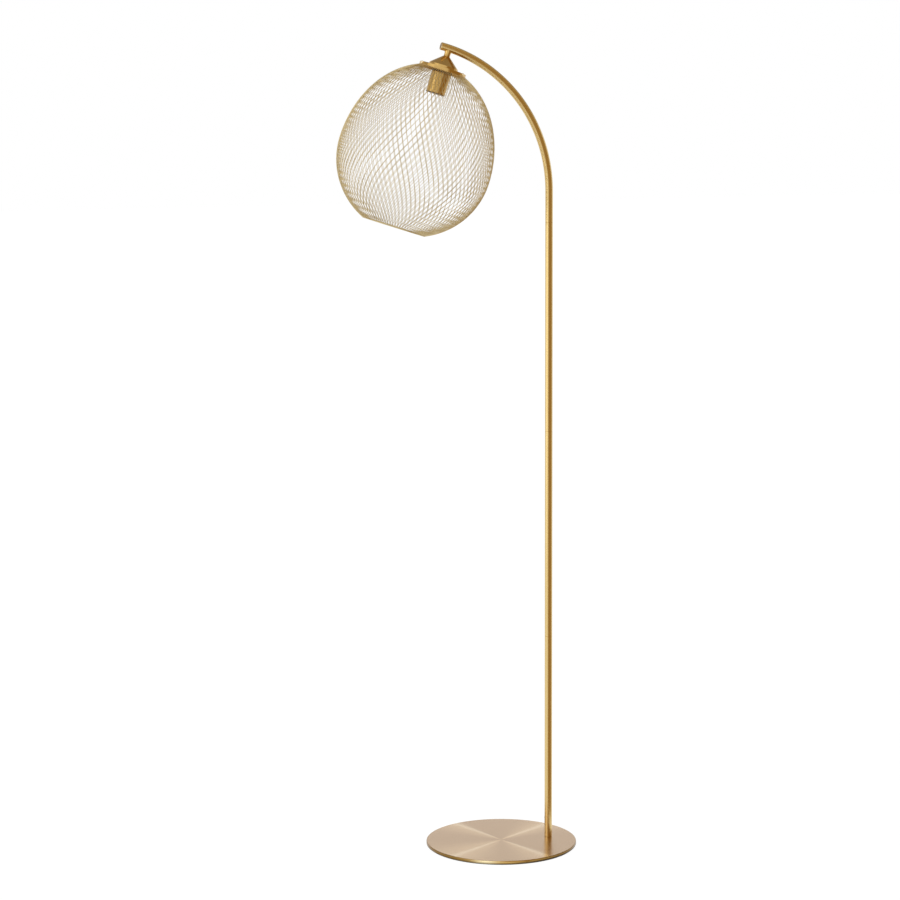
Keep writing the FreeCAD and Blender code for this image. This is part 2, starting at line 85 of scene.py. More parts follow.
def add_object(name, data):
    """A new object that stands in the scene, untransformed."""
    made = bpy.data.objects.new(name, data)
    bpy.context.scene.collection.objects.link(made)
    return made


print("solids:", len(frame["nodes"]), "bodies:", sorted(frame["bodies"]), "box:", solid_box)

# %% [markdown]
# ## The camera
#
# A photograph of a thin object tells where its camera stood: the base's ellipse gives how far the
# view looks down, the arc's lean gives how far round it stands, and the change of width along the
# pole gives the distance. One could place a camera by eye, but a small error would spoil the fine
# pattern of the crossed wires, so the fitted numbers are written down as they are. A long lens 5.5
# m away keeps upright lines upright.

# %% Camera
view_turn = math.radians(-13.92)
view_down = math.radians(8.56)
view_roll = math.radians(-0.22)
view_place = Vector((-1.4200, -5.3145, 1.6270))
pixels_across = 900
focal_pixels = 2829.0

forward = Vector(
    (
        -math.sin(view_turn) * math.cos(view_down),
        math.cos(view_turn) * math.cos(view_down),
        -math.sin(view_down),
    )
)
right = Vector((math.cos(view_turn), math.sin(view_turn), 0.0))
up = right.cross(forward)
right_rolled = right * math.cos(view_roll) + up * math.sin(view_roll)
up_rolled = up * math.cos(view_roll) - right * math.sin(view_roll)

camera_data = bpy.data.cameras.new("camera")
camera_data.sensor_width = 36.0
camera_data.lens = focal_pixels / pixels_across * camera_data.sensor_width
camera = add_object("camera", camera_data)
turn = Matrix((right_rolled, up_rolled, -forward)).transposed()
camera.matrix_world = Matrix.Translation(view_place) @ turn.to_4x4()
bpy.context.scene.camera = camera
print("camera lens in mm:", round(camera_data.lens, 2))

# %% [markdown]
# ## Node maths as Python
#
# A procedural finish is a handful of formulas. Wired by hand, one formula takes a dozen Math nodes
# and nobody can read it again. A small class wraps a node's output and overloads the operators, so
# that `1 - mask` adds the node and gives its output. Everything else, in a shader or in a geometry
# tree, comes from the one method `node`, which sets a node's settings first and then its sockets.


# %% A socket in an expression
class Socket:
    """A node's output that can be used in Python expressions."""

    def __init__(self, board, end):
        self.board, self.end = board, end

    def maths(self, operation, *others):
        return self.board.maths(operation, self, *others)

    def __add__(self, other):
        return self.board.maths("ADD", self, other)

    def __radd__(self, other):
        return self.board.maths("ADD", other, self)

    def __sub__(self, other):
        return self.board.maths("SUBTRACT", self, other)

    def __rsub__(self, other):
        return self.board.maths("SUBTRACT", other, self)

    def __mul__(self, other):
        return self.board.maths("MULTIPLY", self, other)

    def __rmul__(self, other):
        return self.board.maths("MULTIPLY", other, self)

    def __truediv__(self, other):
        return self.board.maths("DIVIDE", self, other)

    def __rtruediv__(self, other):
        return self.board.maths("DIVIDE", other, self)

    def __pow__(self, other):
        return self.board.maths("POWER", self, other)

    def __neg__(self):
        return self.board.maths("MULTIPLY", self, -1.0)

    def __gt__(self, other):
        return self.board.maths("GREATER_THAN", self, other)

    def __lt__(self, other):
        return self.board.maths("LESS_THAN", self, other)


print("a socket can be added, subtracted, multiplied, divided, raised to a power and compared")


# %% The board that the nodes stand on
class Outputs:
    """The outputs of one node, by name or number."""

    def __init__(self, board, made):
        self.board, self.made = board, made

    def __getitem__(self, key):
        return Socket(self.board, pick(self.made.outputs, key))


def pick(sockets, key):
    """A socket by number, by identifier or by name."""
    if isinstance(key, int):
        return sockets[key]
    for socket in sockets:
        if socket.identifier == key:
            return socket
    return sockets[key]


class Board:
    """A node tree with a short way to add nodes."""

    def __init__(self, tree):
        self.tree = tree

    def node(self, kind, settings=None, inputs=None):
        made = self.tree.nodes.new(kind)
        for name, value in (settings or {}).items():
            setattr(made, name, value)
        for key, value in (inputs or {}).items():
            end = pick(made.inputs, key)
            if isinstance(value, Socket):
                self.tree.links.new(value.end, end)
            else:
                end.default_value = value
        return Outputs(self, made)

    def maths(self, operation, *values):
        return self.node("ShaderNodeMath", {"operation": operation}, dict(enumerate(values)))[0]

    def vector(self, operation, *values):
        inputs = dict(enumerate(values))
        return self.node("ShaderNodeVectorMath", {"operation": operation}, inputs)["Vector"]

    def mix(self, factor, first, second, blend="MIX"):
        settings = {"data_type": "RGBA", "blend_type": blend, "clamp_factor": True}
        inputs = {"Factor_Float": factor, "A_Color": first, "B_Color": second}
        return self.node("ShaderNodeMix", settings, inputs)["Result_Color"]

    def combine(self, x, y, z):
        return self.node("ShaderNodeCombineXYZ", {}, {"X": x, "Y": y, "Z": z})["Vector"]

    def split(self, vector):
        parts = self.node("ShaderNodeSeparateXYZ", {}, {"Vector": vector})
        return parts["X"], parts["Y"], parts["Z"]

    def smooth(self, value, low, high, out_low=0.0, out_high=1.0):
        """Rises softly from out_low to out_high while the value goes from low to high."""
        inputs = {"Value": value, "From Min": low, "From Max": high}
        inputs.update({"To Min": out_low, "To Max": out_high})
        settings = {"interpolation_type": "SMOOTHSTEP"}
        return self.node("ShaderNodeMapRange", settings, inputs)["Result"]


def empty_board(owner):
    """The cleared node tree of a world or a material."""
    owner.use_nodes = True
    owner.node_tree.nodes.clear()
    return Board(owner.node_tree)


print("short ways to add nodes:", [name for name in vars(Board) if not name.startswith("_")])

# %% [markdown]
# ## The studio
#
# The lamp stands in an all-white studio. White could be had by flooding the set with light, but
# that would burn out the pale gold. Instead the floor and the surroundings are simply white to the
# camera and to mirror-like reflections, and the light that falls on the lamp stays at a plain
# level. The floor adds a small share of real, lit white, so the lamp keeps a soft shadow on it.
#
# Polished metal shows what stands round it, and in an all-white room it would look flat. So two
# cards that only mirror-like reflections see stand in for the things in a real studio: a warm one,
# curved round the front of the pole, and a dim ceiling. Both fade to white at their ends, so no
# hard line is mirrored.


# %% World
def white_rays(board):
    """1 for the rays that should find plain white: seen, mirrored and let through."""
    ray = board.node("ShaderNodeLightPath")
    seen = ray["Is Camera Ray"].maths("MAXIMUM", ray["Is Glossy Ray"])
    return seen.maths("MAXIMUM", ray["Is Transmission Ray"])


room_light = 0.72
world = bpy.data.worlds.new("white_room")
bpy.context.scene.world = world
board = empty_board(world)
strength = white_rays(board) * (1.0 - room_light) + room_light
glow = board.node("ShaderNodeBackground", {}, {"Color": WHITE, "Strength": strength})
board.node("ShaderNodeOutputWorld", {}, {"Surface": glow["Background"]})
bpy.context.scene.view_settings.view_transform = "Standard"
print("world light on matt surfaces:", room_light)

# %% Floor
floor_size = 40.0
floor_glow = 0.93
floor_lit_grey = (0.13, 0.13, 0.13, 1)
floor_bounce_grey = (0.80, 0.80, 0.80, 1)

half = floor_size / 2
floor_mesh = bpy.data.meshes.new("floor")
floor_mesh.from_pydata(
    [(-half, -half, 0), (half, -half, 0), (half, half, 0), (-half, half, 0)], [], [(0, 1, 2, 3)]
)
floor = add_object("floor", floor_mesh)

floor_paint = bpy.data.materials.new("white_floor")
board = empty_board(floor_paint)
glow = board.node("ShaderNodeEmission", {}, {"Color": WHITE, "Strength": floor_glow})
lit = board.node("ShaderNodeBsdfDiffuse", {}, {"Color": floor_lit_grey})
shown = board.node("ShaderNodeAddShader", {}, {0: glow["Emission"], 1: lit["BSDF"]})
bounce = board.node("ShaderNodeBsdfDiffuse", {}, {"Color": floor_bounce_grey})
either = board.node(
    "ShaderNodeMixShader", {}, {0: white_rays(board), 1: bounce["BSDF"], 2: shown["Shader"]}
)
board.node("ShaderNodeOutputMaterial", {}, {"Surface": either["Shader"]})
floor_mesh.materials.append(floor_paint)
print("floor:", floor_size, "m across")


# %% Soft boxes
def studio_light(name, place, target, width, height, radiance):
    """A soft box that faces a target. The radiance is how bright it looks, where 1 is white."""
    data = bpy.data.lights.new(name, "AREA")
    data.shape = "RECTANGLE"
    data.size, data.size_y = width, height
    data.energy = radiance * math.pi * width * height
    light = add_object(name, data)
    aim = (Vector(target) - Vector(place)).to_track_quat("-Z", "Y").to_matrix().to_4x4()
    light.matrix_world = Matrix.Translation(Vector(place)) @ aim


def round_the_lamp(degrees_right, distance, height):
    """A place round the lamp, counted from the camera's side: plus is to the camera's right."""
    toward = Vector((math.sin(view_turn), -math.cos(view_turn), 0.0))
    side = Vector((right.x, right.y, 0.0))
    swing = math.radians(degrees_right)
    return (toward * math.cos(swing) + side * math.sin(swing)) * distance + Vector((0, 0, height))


lamp_middle = (0.0, 0.0, 0.85)
soft_boxes = {
    # name: degrees round from the camera, distance, height, width, length, radiance
    "soft_box_left": (-62, 3.4, 1.25, 2.2, 2.8, 0.85),
    "soft_box_top": (-10, 1.6, 3.6, 2.4, 2.4, 0.9),
}
for name, (degrees, distance, height, width, length, radiance) in soft_boxes.items():
    place = round_the_lamp(degrees, distance, height)
    studio_light(name, place, lamp_middle, width, length, radiance)
print("soft boxes:", sorted(soft_boxes))

# %% Cards for the reflections
high_tone_start, high_tone_end = 0.56, 0.66


def stage_card(name, corners, faces, paint_uv, colour, high_colour, fade):
    """A card that only mirror-like reflections see.

    Its map runs across it and up it. The colour fades to white at both ends of the map's width,
    over the share "fade" of it, and changes to the high colour in the upper part.
    """
    mesh = bpy.data.meshes.new(name)
    mesh.from_pydata(corners, [], faces)
    skin = mesh.uv_layers.new(name="skin")
    for loop in mesh.loops:
        skin.data[loop.index].uv = paint_uv[loop.vertex_index]
    card = add_object(name, mesh)
    paint = bpy.data.materials.new(name)
    board = empty_board(paint)
    across, high, _ = board.split(board.node("ShaderNodeUVMap", {"uv_map": "skin"})["UV"])
    inside = board.smooth(across, 0.0, fade) * board.smooth(across, 1.0, 1.0 - fade)
    raised = board.smooth(high, high_tone_start, high_tone_end)
    tone = board.mix(inside, WHITE, board.mix(raised, (*colour, 1), (*high_colour, 1)))
    glow = board.node("ShaderNodeEmission", {}, {"Color": tone, "Strength": 1.0})
    board.node("ShaderNodeOutputMaterial", {}, {"Surface": glow["Emission"]})
    mesh.materials.append(paint)
    card.visible_camera = card.visible_diffuse = card.visible_shadow = False
    card.visible_transmission = False


print("a card changes its tone at", high_tone_start, "of its height")

# %% The warm card, curved round the front of the pole
pole_offset = 98.0
card_distance = 0.32
card_start, card_end = -22.0, 100.0
card_low, card_height = 0.004, 3.4
card_flap = 0.54
card_fade = 0.11
card_tone, card_high_tone = (0.42, 0.28, 0.12), (0.55, 0.40, 0.19)
columns = 24
corners, card_map = [], []
for n in range(columns + 1):
    spot = round_the_lamp(card_start + (card_end - card_start) * n / columns, card_distance, 0.0)
    for reach, z in ((card_flap, card_low), (1.0, card_low), (1.0, card_height)):
        corners.append((spot.x * reach + pole_offset * MM, spot.y * reach, z))
        card_map.append((n / columns, z / card_height))
firsts = [3 * n + k for n in range(columns) for k in (0, 1)]
faces = [(first, first + 3, first + 4, first + 1) for first in firsts]
stage_card("warm_card", corners, faces, card_map, card_tone, card_high_tone, card_fade)
print("warm card:", len(faces), "faces,", card_height, "m high")

# %% The dark ceiling
ceiling_height = 4.2
ceiling_spots = ((-82, 8.0), (82, 8.0), (140, 13.0), (-140, 13.0))
ceiling_tone = (0.42, 0.37, 0.29)
ceiling_fade = 0.05
corners = [round_the_lamp(degrees, far, ceiling_height) for degrees, far in ceiling_spots]
ceiling_map = [(0, 0), (1, 0), (1, 1), (0, 1)]
stage_card(
    "dark_ceiling", corners, [(0, 1, 2, 3)], ceiling_map, ceiling_tone, ceiling_tone, ceiling_fade
)
print("ceiling at", ceiling_height, "m")

# %% [markdown]
# ## Finishes
#
# Almost everything here is brass, but no two pieces are finished alike. Tube comes drawn, with
# faint streaks along it. The disc is brushed round its centre, and brushing round a centre makes
# bright rays, because each groove throws light across itself; here those rays are painted
# highlights in the disc's colour. The bell, the disc under it and the cup are spun and polished,
# so their marks are rings. The wire is paler, being plated. Each finish is one formula on the
# surface's own coordinates: the place round and along a tube comes from its own map, and
# everything else from the object's space, turned to the head's axis where that is needed.


# %% Finish helper
def linear(red, green, blue):
    """A colour as an image shows it, from 0 to 255, made the value that a shader takes."""
    shares = [value / 255.0 for value in (red, green, blue)]
    levels = [s / 12.92 if s <= 0.04045 else ((s + 0.055) / 1.055) ** 2.4 for s in shares]
    return (*levels, 1.0)


def finish(name, look):
    """A material with one main shader, whose sockets look(board) gives as a dictionary."""
    material = bpy.data.materials.new(name)
    board = empty_board(material)
    shader = board.node("ShaderNodeBsdfPrincipled", {}, look(board))
    board.node("ShaderNodeOutputMaterial", {}, {"Surface": shader["BSDF"]})
    return material


def bump(board, height, distance, strength=1.0):
    inputs = {"Strength": strength, "Distance": distance, "Height": height}
    return board.node("ShaderNodeBump", {}, inputs)["Normal"]


def noise(board, vector, scale, detail=2.0, roughness=0.5):
    inputs = {"Vector": vector, "Scale": scale, "Detail": detail, "Roughness": roughness}
    return board.node("ShaderNodeTexNoise", {}, inputs)["Fac"]


def object_place(board):
    return board.node("ShaderNodeTexCoord")["Object"]


def lobe(angle, degrees, sharpness):
    """1 where the angle has this direction, falling to 0 on both sides."""
    facing = (angle - math.radians(degrees)).maths("COSINE").maths("MAXIMUM", 0.0)
    return facing**sharpness


finishes = {}
print("mid grey as a shader takes it:", [round(level, 3) for level in linear(128, 128, 128)[:3]])


# %% Drawn brass, for the pole and the arm
def drawn_brass(board):
    around, along, _ = board.split(board.node("ShaderNodeUVMap", {"uv_map": "skin"})["UV"])
    angle = around * (2 * math.pi)
    cos_a, sin_a = angle.maths("COSINE"), angle.maths("SINE")
    streaks = noise(board, board.combine(cos_a * 3.0, sin_a * 3.0, along * 2.5), 7.0, 4.0, 0.6)
    clouds = noise(board, board.combine(cos_a * 0.4, sin_a * 0.4, along * 9.0), 1.3)
    colour = board.mix(clouds, linear(216, 188, 126), linear(224, 198, 138))
    colour = board.mix(streaks * 0.35, colour, linear(198, 164, 98))
    return {
        "Base Color": colour,
        "Metallic": 1.0,
        "Roughness": 0.20 + 0.12 * streaks,
        "Normal": bump(board, streaks, 0.00002, 0.5),
        "Coat Weight": 0.35,
        "Coat Roughness": 0.12,
    }


finishes["drawn_brass"] = finish("drawn_brass", drawn_brass)
print("drawn brass: streaks along the tube")

# %% Brushed gold, for the base, with painted highlight rays
# each painted highlight ray: its direction in degrees, the side of its broad painted sheen (0 is
# both), the sheen's sharpness
painted_ray_highlights = ((36.0, 0, 22.0), (114.0, 1, 16.0), (216.0, 0, 9.0), (294.0, -1, 16.0))
painted_ray_sharpness = 420.0
painted_sheen_edge = 0.05


def brushed_gold(board):
    x, y, _ = board.split(object_place(board))
    radius = (x * x + y * y).maths("SQRT")
    angle = y.maths("ARCTAN2", x)
    cos_a, sin_a = angle.maths("COSINE"), angle.maths("SINE")
    grooves = noise(board, board.combine(radius * 900.0, cos_a * 1.6, sin_a * 1.6), 2.0, 5.0, 0.65)
    # painted highlights: broad sheens and narrow bright rays, mixed into the base colour at fixed
    # angles
    painted_sheen = 0.0
    painted_ray_lines = 0.0
    for degrees, side, tail_sharpness in painted_ray_highlights:
        tail = lobe(angle, degrees, tail_sharpness)
        if side:
            away = angle - math.radians(degrees)
            tail = tail * board.smooth(away.maths("SINE") * side, -painted_sheen_edge, painted_sheen_edge)
        painted_sheen = tail + painted_sheen
        painted_ray_lines = lobe(angle, degrees, painted_ray_sharpness) + painted_ray_lines
    # the narrow painted rays fade out towards the centre
    fade = board.smooth(radius, 0.002, 0.03)
    colour = board.mix(painted_sheen * 0.80, linear(198, 168, 134), linear(228, 198, 160))
    colour = board.mix(painted_ray_lines * fade * 0.60, colour, linear(250, 230, 198))
    colour = board.mix(grooves * 0.18, colour, linear(164, 138, 108))
    return {
        "Base Color": colour,
        "Metallic": 1.0,
        "Roughness": 0.20 + 0.10 * grooves,
        "Normal": bump(board, grooves, 0.00002, 0.35),
    }


finishes["brushed_gold"] = finish("brushed_gold", brushed_gold)
print("brushed gold: rays at", [mark[0] for mark in painted_ray_highlights], "degrees")

# %% Turned gold, for the base's edge, with painted highlights and painted shade
# two painted highlights, each with its direction in degrees and its sharpness
painted_edge_highlight = (258.0, 10.0)
painted_edge_glint = (243.0, 90.0)
# heights over which the painted shade of the lower edge sets in
painted_edge_shade_from, painted_edge_shade_to = 0.0058, 0.0034


def rim_gold(board):
    """Turned brass painted dark as painted shade, with a painted bright front and one painted glint
    on it, and more painted shade along the lower edge by the floor and towards the right.
    """
    x, y, z = board.split(object_place(board))
    angle = y.maths("ARCTAN2", x)
    stretched = board.vector("MULTIPLY", object_place(board), (2.0, 2.0, 600.0))
    streaks = noise(board, stretched, 3.0, 3.0)
    # the edge's brass is painted dark, as painted shade
    gold = board.mix(streaks, linear(128, 98, 48), linear(150, 118, 64))
    # painted highlights: a bright front and one glint
    gold = board.mix(lobe(angle, *painted_edge_highlight), gold, linear(206, 168, 98))
    gold = board.mix(lobe(angle, *painted_edge_glint), gold, linear(254, 236, 188))
    # painted shade along the lower edge, by the floor
    low = board.smooth(z, painted_edge_shade_from, painted_edge_shade_to)
    # painted shade, darker towards the right
    painted_right_shade = board.smooth(x, -0.10, 0.10, 0.5, 1.0)
    return {
        "Base Color": board.mix(low * painted_right_shade, gold, linear(66, 50, 30)),
        "Metallic": 1.0,
        "Roughness": 0.22 + 0.10 * streaks,
    }


finishes["rim_gold"] = finish("rim_gold", rim_gold)
print("base edge: glint at", painted_edge_glint[0], "degrees")

# %% [markdown]
# ## The head's axis
#
# The head hangs square to the end of the arm, so its own axis leans by about 18 degrees. Every
# piece of the head is drawn upright round that axis, with depths counted down from the arm, and one
# matrix puts it in place. The same place and lean, given to a Mapping node, centre the spun marks
# on the leaning axis.

# %% The head's own axis
arm_radius = 290.0
arm_base = 1305.5
neck_angle = math.radians(71.8)
head_lean = math.radians(90.0) - neck_angle
neck_place = Vector(
    (
        pole_offset - arm_radius + arm_radius * math.cos(neck_angle),
        0.0,
        arm_base + arm_radius * math.sin(neck_angle),
    )
)
to_base = Matrix.Scale(MM, 4)
to_pole = Matrix.Translation((pole_offset * MM, 0, 0)) @ to_base
to_head = Matrix.Translation(neck_place * MM) @ Matrix.Rotation(head_lean, 4, "Y") @ to_base


def head_cylinder(board):
    """Radius, angle and height of a point round the head's axis, in metres."""
    inputs = {
        "Vector": object_place(board),
        "Location": tuple(neck_place * MM),
        "Rotation": (0.0, head_lean, 0.0),
    }
    mapped = board.node("ShaderNodeMapping", {"vector_type": "TEXTURE"}, inputs)["Vector"]
    x, y, z = board.split(mapped)
    return (x * x + y * y).maths("SQRT"), y.maths("ARCTAN2", x), z


print("head axis through", [round(v, 2) for v in neck_place])
print("head leans by", round(math.degrees(head_lean), 1), "degrees")


# %% Spun and polished brass, for the bell, its disc and the cup
def spun_brass(board):
    radius, angle, height = head_cylinder(board)
    cos_a, sin_a = angle.maths("COSINE"), angle.maths("SINE")
    spread = board.combine(radius * 1400.0 + cos_a * 0.5, height * 1400.0, sin_a * 0.5)
    rings = noise(board, spread, 1.0, 3.0, 0.6)
    clouds = noise(board, object_place(board), 28.0, 2.0)
    colour = board.mix(clouds, linear(196, 158, 88), linear(210, 174, 106))
    return {
        "Base Color": board.mix(rings * 0.25, colour, linear(168, 130, 72)),
        "Metallic": 1.0,
        "Roughness": 0.13 + 0.09 * rings,
        "Normal": bump(board, rings, 0.00001, 0.4),
        "Coat Weight": 0.25,
        "Coat Roughness": 0.05,
    }


finishes["spun_brass"] = finish("spun_brass", spun_brass)


def bright_brass(board):
    """Polished brass for the small screws, which catch the light."""
    stretched = board.vector("MULTIPLY", object_place(board), (300.0, 300.0, 2600.0))
    grain = noise(board, stretched, 1.0, 3.0)
    return {
        "Base Color": board.mix(grain, linear(250, 234, 190), linear(255, 244, 212)),
        "Metallic": 1.0,
        "Roughness": 0.14 + 0.10 * grain,
    }


finishes["bright_brass"] = finish("bright_brass", bright_brass)
print("brass finishes:", sorted(finishes))


# %% Plated wire
def plated_wire(board):
    tone = board.node("ShaderNodeAttribute", {"attribute_name": "wire_tone"})["Fac"]
    specks = noise(board, object_place(board), 900.0, 2.0)
    colour = board.mix(tone, linear(198, 180, 138), linear(220, 202, 158))
    return {
        "Base Color": board.mix(specks * 0.3, colour, linear(170, 148, 104)),
        "Metallic": 1.0,
        "Roughness": 0.24 + 0.12 * specks,
    }


finishes["plated_wire"] = finish("plated_wire", plated_wire)
print("finishes so far:", len(finishes))


# %% Plain finishes for the small pieces
def grained(low, high, metallic, roughness, scale, relief):
    """An even material with a fine grain in its colour, its gloss and its surface."""

    def look(board):
        place = object_place(board)
        grain = noise(board, place, scale, 3.0)
        broad = noise(board, place, scale / 12.0, 2.0)
        return {
            "Base Color": board.mix(grain * 0.6 + broad * 0.4, low, high),
            "Metallic": metallic,
            "Roughness": roughness - 0.06 + 0.12 * grain,
            "Normal": bump(board, grain, relief),
        }

    return look


plain = {
    # name: low colour, high colour, metallic, roughness, grain scale, relief in metres
    # a darker brass for the kept satin pieces, such as the arm's end plug
    "darker_brass": (linear(112, 84, 44), linear(140, 108, 60), 1.0, 0.35, 900.0, 0.00002),
    # darkened brass, painted shade for the cup's bead
    "bead_painted_shade": (linear(58, 40, 22), linear(84, 60, 34), 1.0, 0.40, 900.0, 0.00002),
    "turned_brass": (linear(172, 138, 78), linear(204, 172, 108), 1.0, 0.30, 900.0, 0.00002),
    "plated_steel": (linear(158, 160, 160), linear(186, 186, 182), 1.0, 0.32, 800.0, 0.00002),
    "nickel_shell": (linear(188, 180, 158), linear(214, 206, 184), 1.0, 0.22, 700.0, 0.00001),
    "bare_copper": (linear(176, 106, 76), linear(214, 142, 104), 1.0, 0.34, 1500.0, 0.00003),
    "white_ceramic": (linear(226, 222, 212), linear(238, 236, 228), 0.0, 0.22, 500.0, 0.00002),
    "black_plastic": (linear(24, 23, 22), linear(38, 36, 34), 0.0, 0.45, 2200.0, 0.00003),
    "washer_nylon": (linear(214, 212, 200), linear(228, 226, 216), 0.0, 0.50, 900.0, 0.00002),
    "flex_jacket": (linear(176, 152, 98), linear(196, 172, 116), 0.0, 0.48, 700.0, 0.00004),
    "black_rubber": (linear(22, 22, 22), linear(40, 39, 38), 0.0, 0.70, 1400.0, 0.00006),
    "pad_rubber": (linear(30, 30, 31), linear(52, 51, 50), 0.0, 0.85, 1100.0, 0.00015),
}
for name, numbers in plain.items():
    finishes[name] = finish(name, grained(*numbers))
print("plain finishes:", sorted(plain))

# %% [markdown]
# ## Turned pieces
#
# Base, tubes, neck, bell, disc, band, ring and cup are all turned or spun, so one helper makes
# them: it spins a closed outline round an axis. A ready-made cylinder would be quicker, but real
# metal has no perfectly sharp edge, and it is the small rounding at an edge that catches the light.
# So each corner of an outline says how far it is rounded, and the helper also keeps the flats
# beside it flat by adding a point close to it.


# %% An outline with rounded corners
flat_keeper = 1.8
flat_least = 6.0


def rounded(corners, steps=3):
    """A closed outline from corners of (radius, height, rounding)."""
    count = len(corners)
    outline = []
    for n, (x, y, rounding) in enumerate(corners):
        here = Vector((x, y))
        before = Vector(corners[n - 1][:2]) - here
        after = Vector(corners[(n + 1) % count][:2]) - here
        if rounding <= 0:
            outline.append(here)
            continue
        half_angle = before.angle(after) / 2
        reach = rounding / math.tan(half_angle)
        middle = (before.normalized() + after.normalized()).normalized()
        centre = here + middle * (rounding / math.sin(half_angle))
        start = here + before.normalized() * reach
        end = here + after.normalized() * reach
        if before.length > flat_least * reach:
            outline.append(here + before.normalized() * (reach * flat_keeper))
        for step in range(steps + 1):
            spoke = (start - centre).lerp(end - centre, step / steps).normalized()
            outline.append(centre + spoke * rounding)
        if after.length > flat_least * reach:
            outline.append(here + after.normalized() * (reach * flat_keeper))
    return outline


def arc_through(first, middle, last, steps):
    """Points on the circle through three points, ends left out, as corners without rounding."""
    a, b, c = Vector(first), Vector(middle), Vector(last)
    d = 2 * (a.x * (b.y - c.y) + b.x * (c.y - a.y) + c.x * (a.y - b.y))
    aa, bb, cc = a.length_squared, b.length_squared, c.length_squared
    centre = Vector(
        (
            (aa * (b.y - c.y) + bb * (c.y - a.y) + cc * (a.y - b.y)) / d,
            (aa * (c.x - b.x) + bb * (a.x - c.x) + cc * (b.x - a.x)) / d,
        )
    )
    start = math.atan2(a.y - centre.y, a.x - centre.x)
    sweep = math.atan2(c.y - centre.y, c.x - centre.x) - start
    sweep = (sweep + math.pi) % (2 * math.pi) - math.pi
    size = (a - centre).length
    angles = [start + sweep * n / steps for n in range(1, steps)]
    return [(centre.x + size * math.cos(t), centre.y + size * math.sin(t), 0.0) for t in angles]


square = [(0, 0, 1), (9, 0, 1), (9, 9, 1), (0, 9, 1)]
print("a square with rounded corners takes", len(rounded(square)), "points")

# %% Spin an outline
sharp_edge = math.radians(40)


def turned(name, outline, place, material, segments):
    """Spins a closed outline of (radius, height) round Z and puts it in place.

    The map of the piece runs round it and along its outline.
    """
    rows = len(outline)
    lengths = [0.0]
    for n in range(rows):
        lengths.append(lengths[-1] + (outline[(n + 1) % rows] - outline[n]).length)
    shell = bmesh.new()
    skin = shell.loops.layers.uv.new("skin")
    rings = []
    for point in outline:
        ring = []
        for k in range(segments):
            t = 2 * math.pi * k / segments
            ring.append(shell.verts.new((point.x * math.cos(t), point.x * math.sin(t), point.y)))
        rings.append(ring)
    for n in range(rows):
        m = (n + 1) % rows
        if outline[n].x < 1e-6 and outline[m].x < 1e-6:
            continue
        for k in range(segments):
            j = (k + 1) % segments
            face = shell.faces.new((rings[n][k], rings[n][j], rings[m][j], rings[m][k]))
            face.smooth = True
            marks = ((k, n), (k + 1, n), (k + 1, n + 1), (k, n + 1))
            for loop, (u, v) in zip(face.loops, marks):
                loop[skin].uv = (u / segments, lengths[v] * MM)
    bmesh.ops.remove_doubles(shell, verts=shell.verts, dist=1e-5)
    bmesh.ops.recalc_face_normals(shell, faces=shell.faces)
    mesh = bpy.data.meshes.new(name)
    shell.to_mesh(mesh)
    shell.free()
    mesh.transform(place)
    mesh.set_sharp_from_angle(angle=sharp_edge)
    mesh.materials.append(material)
    print(name, "faces:", len(mesh.polygons))
    return add_object(name, mesh)


def belongs(piece, body, slot, *nodes):
    """Hides the solids that the piece stands for and puts the piece on its body. The slot is not
    used.
    """
    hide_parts(*nodes)
    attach(piece, body)


print("edges sharper than", round(math.degrees(sharp_edge)), "degrees stay sharp")

# %% [markdown]
# ## The base
#
# The base is a plain disc, 300 mm across and 6 mm thick, heavy enough to carry the arm's overhang.
# Its top is brushed and its edge is turned bright, so the two surfaces get different materials,
# chosen by which way a face points. Both colours carry painted light: highlight rays on the top,
# and a painted glint and painted shade on the edge. The countersunk hole for the pole's screw is
# cut from below with a Boolean, since a spun outline can't have a hole off its centre.

# %% Base disc
pad_top = 2.0
base_top = 8.0
base_radius = 150.0
low_rounding, top_rounding = 0.5, 1.2
base_corners = [
    (0, pad_top, 0),
    (base_radius, pad_top, low_rounding),
    (base_radius, base_top, top_rounding),
    (0, base_top, 0),
]
base_outline = rounded(base_corners, steps=5)
disc = turned("base_disc", base_outline, to_base, finishes["brushed_gold"], 180)
disc.data.materials.append(finishes["rim_gold"])
top_facing = 0.97
for face in disc.data.polygons:
    face.material_index = 0 if face.normal.z > top_facing else 1

# %% The countersunk hole under the pole
sink_radius = 8.1
hole_radius = 4.3
sink_start, sink_end = pad_top + 0.1, pad_top + 3.9
below, above = pad_top - 5, base_top + 3
sink_corners = [
    (0, below, 0),
    (sink_radius, below, 0),
    (sink_radius, sink_start, 0),
    (hole_radius, sink_end, 0),
    (hole_radius, above, 0),
    (0, above, 0),
]
sink = turned("countersink", rounded(sink_corners), to_pole, finishes["rim_gold"], 48)
cut = disc.modifiers.new("hole", "BOOLEAN")
cut.operation = "DIFFERENCE"
cut.solver = "EXACT"
cut.object = sink


def settle(piece):
    """Replaces a piece's mesh by what its modifiers make of it, and takes them off."""
    depsgraph = bpy.context.evaluated_depsgraph_get()
    mesh = bpy.data.meshes.new_from_object(
        piece.evaluated_get(depsgraph), preserve_all_data_layers=True, depsgraph=depsgraph
    )
    piece.modifiers.clear()
    piece.data = mesh
    triangles = sum(len(face.vertices) - 2 for face in mesh.polygons)
    print(piece.name, "triangles:", triangles)


settle(disc)
disc.data.set_sharp_from_angle(angle=sharp_edge)
bpy.data.objects.remove(sink)
belongs(disc, "lamp_stand", "brushed_gold", "base_plate")

# %% [markdown]
# ## The pole
#
# A pole this tall wouldn't fit a parcel, so it is three equal lengths of 15 mm tube that screw
# together. The fine dark lines where they meet are two small chamfers. They could be painted on,
# but two chamfered ends set against each other give the line by themselves, from every side.

